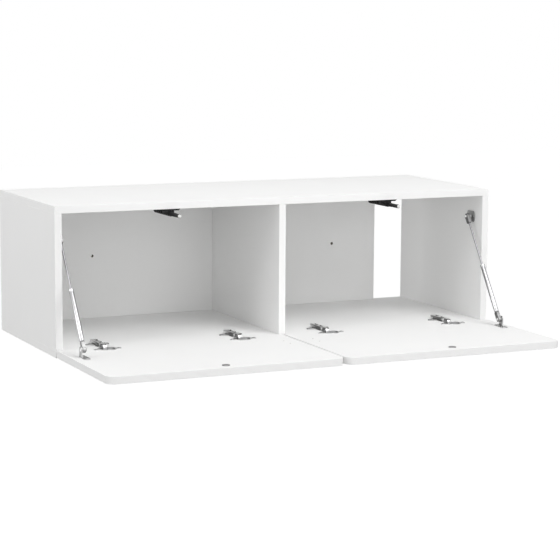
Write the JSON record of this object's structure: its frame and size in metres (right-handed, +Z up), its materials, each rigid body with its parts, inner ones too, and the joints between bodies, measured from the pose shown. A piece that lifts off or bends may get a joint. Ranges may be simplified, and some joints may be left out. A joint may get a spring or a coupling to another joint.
{
  "type": "floating media console",
  "caption": "Wall-hung white media console, open fronted with drop-down doors on cup hinges, gas struts, push latches and a cable gap in the back.",
  "frame": {"origin": "midpoint of the two wall-fixing holes, in the plane of the wall", "axes": "+X along the front to the right, +Y from the front into the wall, +Z up; the doors open towards -Y"},
  "size_m": [1, 0.674, 0.306],
  "materials": {
    "white_board": "smooth white melamine",
    "dowel_wood": "fluted beech",
    "nickel": "nickel-plated steel",
    "zinc_screws": "zinc-plated steel",
    "cam_zinc": "die-cast zinc",
    "piston_rod": "polished steel",
    "strut_tube": "polished steel",
    "strut_fitting": "zinc-plated steel",
    "black_plastic": "black plastic",
    "white_plastic": "white plastic",
    "spring_steel": "bare spring steel"
  },
  "bodies": {
    "cabinet": {"top_panel": "white_board", "bottom_panel": "white_board", "left_side_panel": "white_board", "right_side_panel": "white_board", "centre_divider": "white_board", "left_back_panel": "white_board", "right_back_panel": "white_board", "panel_dowels": "dowel_wood", "back_panel_dowels": "dowel_wood", "cam_bolts": "zinc_screws", "cam_locks": "cam_zinc", "cam_covers": "white_plastic", "bottom_panel_screws": "zinc_screws", "left_outer_hinge_plate": "nickel", "left_outer_hinge_arm": "nickel", "left_inner_hinge_plate": "nickel", "left_inner_hinge_arm": "nickel", "right_outer_hinge_plate": "nickel", "right_outer_hinge_arm": "nickel", "right_inner_hinge_plate": "nickel", "right_inner_hinge_arm": "nickel", "hinge_arm_screws": "zinc_screws", "left_wall_bracket": "nickel", "right_wall_bracket": "nickel", "left_latch_housing": "black_plastic", "left_latch_spring": "spring_steel", "right_latch_housing": "black_plastic", "right_latch_spring": "spring_steel", "cabinet_screws": "zinc_screws"},
    "left_door": {"left_door": "white_board", "left_outer_hinge_cup": "nickel", "left_inner_hinge_cup": "nickel", "left_hinge_pins": "nickel", "left_door_bracket": "nickel", "left_strike_disc": "nickel", "left_door_screws": "zinc_screws"},
    "right_door": {"right_door": "white_board", "right_outer_hinge_cup": "nickel", "right_inner_hinge_cup": "nickel", "right_hinge_pins": "nickel", "right_door_bracket": "nickel", "right_strike_disc": "nickel", "right_door_screws": "zinc_screws"},
    "left_strut_rod": {"left_strut_upper_eye": "strut_fitting", "left_strut_rod": "piston_rod", "left_strut_piston": "black_plastic"},
    "left_strut_tube": {"left_strut_tube": "strut_tube", "left_strut_guide": "black_plastic", "left_strut_lower_eye": "strut_fitting"},
    "right_strut_rod": {"right_strut_upper_eye": "strut_fitting", "right_strut_rod": "piston_rod", "right_strut_piston": "black_plastic"},
    "right_strut_tube": {"right_strut_tube": "strut_tube", "right_strut_guide": "black_plastic", "right_strut_lower_eye": "strut_fitting"},
    "left_latch_plunger": {"left_latch_plunger": "black_plastic", "left_latch_tip": "white_plastic"},
    "right_latch_plunger": {"right_latch_plunger": "black_plastic", "right_latch_tip": "white_plastic"}
  },
  "joints": [
    {"name": "left_door_hinge", "type": "hinge", "parent": "cabinet", "child": "left_door", "pos_m": [-0.251, -0.38002, -0.144], "axis": [-1, 0, 0], "range_deg": [0, 90]},
    {"name": "left_strut_swing", "type": "hinge", "parent": "left_door", "child": "left_strut_tube", "pos_m": [-0.4745, -0.46602, -0.121], "axis": [1, 0, 0], "range_deg": [0, 111.41]},
    {"name": "left_strut_slide", "type": "slide", "parent": "left_strut_tube", "child": "left_strut_rod", "axis": [0, -0.5602, -0.8284], "range_m": [0, 0.10286]},
    {"name": "left_latch_press", "type": "slide", "parent": "cabinet", "child": "left_latch_plunger", "axis": [0, 1, 0], "range_m": [0, 0.0473], "deforming": ["left_latch_spring"]},
    {"name": "right_door_hinge", "type": "hinge", "parent": "cabinet", "child": "right_door", "pos_m": [0.251, -0.38002, -0.144], "axis": [-1, 0, 0], "range_deg": [0, 90]},
    {"name": "right_strut_swing", "type": "hinge", "parent": "right_door", "child": "right_strut_tube", "pos_m": [0.4745, -0.46602, -0.121], "axis": [1, 0, 0], "range_deg": [0, 111.41]},
    {"name": "right_strut_slide", "type": "slide", "parent": "right_strut_tube", "child": "right_strut_rod", "axis": [0, -0.5602, -0.8284], "range_m": [0, 0.10286]},
    {"name": "right_latch_press", "type": "slide", "parent": "cabinet", "child": "right_latch_plunger", "axis": [0, 1, 0], "range_m": [0, 0.0473], "deforming": ["right_latch_spring"]}
  ],
  "couplings": [
    {"joint": "left_strut_swing", "follows": "left_door_hinge", "ratio": 1.2379},
    {"joint": "left_strut_slide", "follows": "left_door_hinge", "m_per_rad": 0.065478},
    {"joint": "left_latch_press", "follows": "left_door_hinge", "m_per_rad": 0.030112},
    {"joint": "right_strut_swing", "follows": "right_door_hinge", "ratio": 1.2379},
    {"joint": "right_strut_slide", "follows": "right_door_hinge", "m_per_rad": 0.065478},
    {"joint": "right_latch_press", "follows": "right_door_hinge", "m_per_rad": 0.030112}
  ]
}
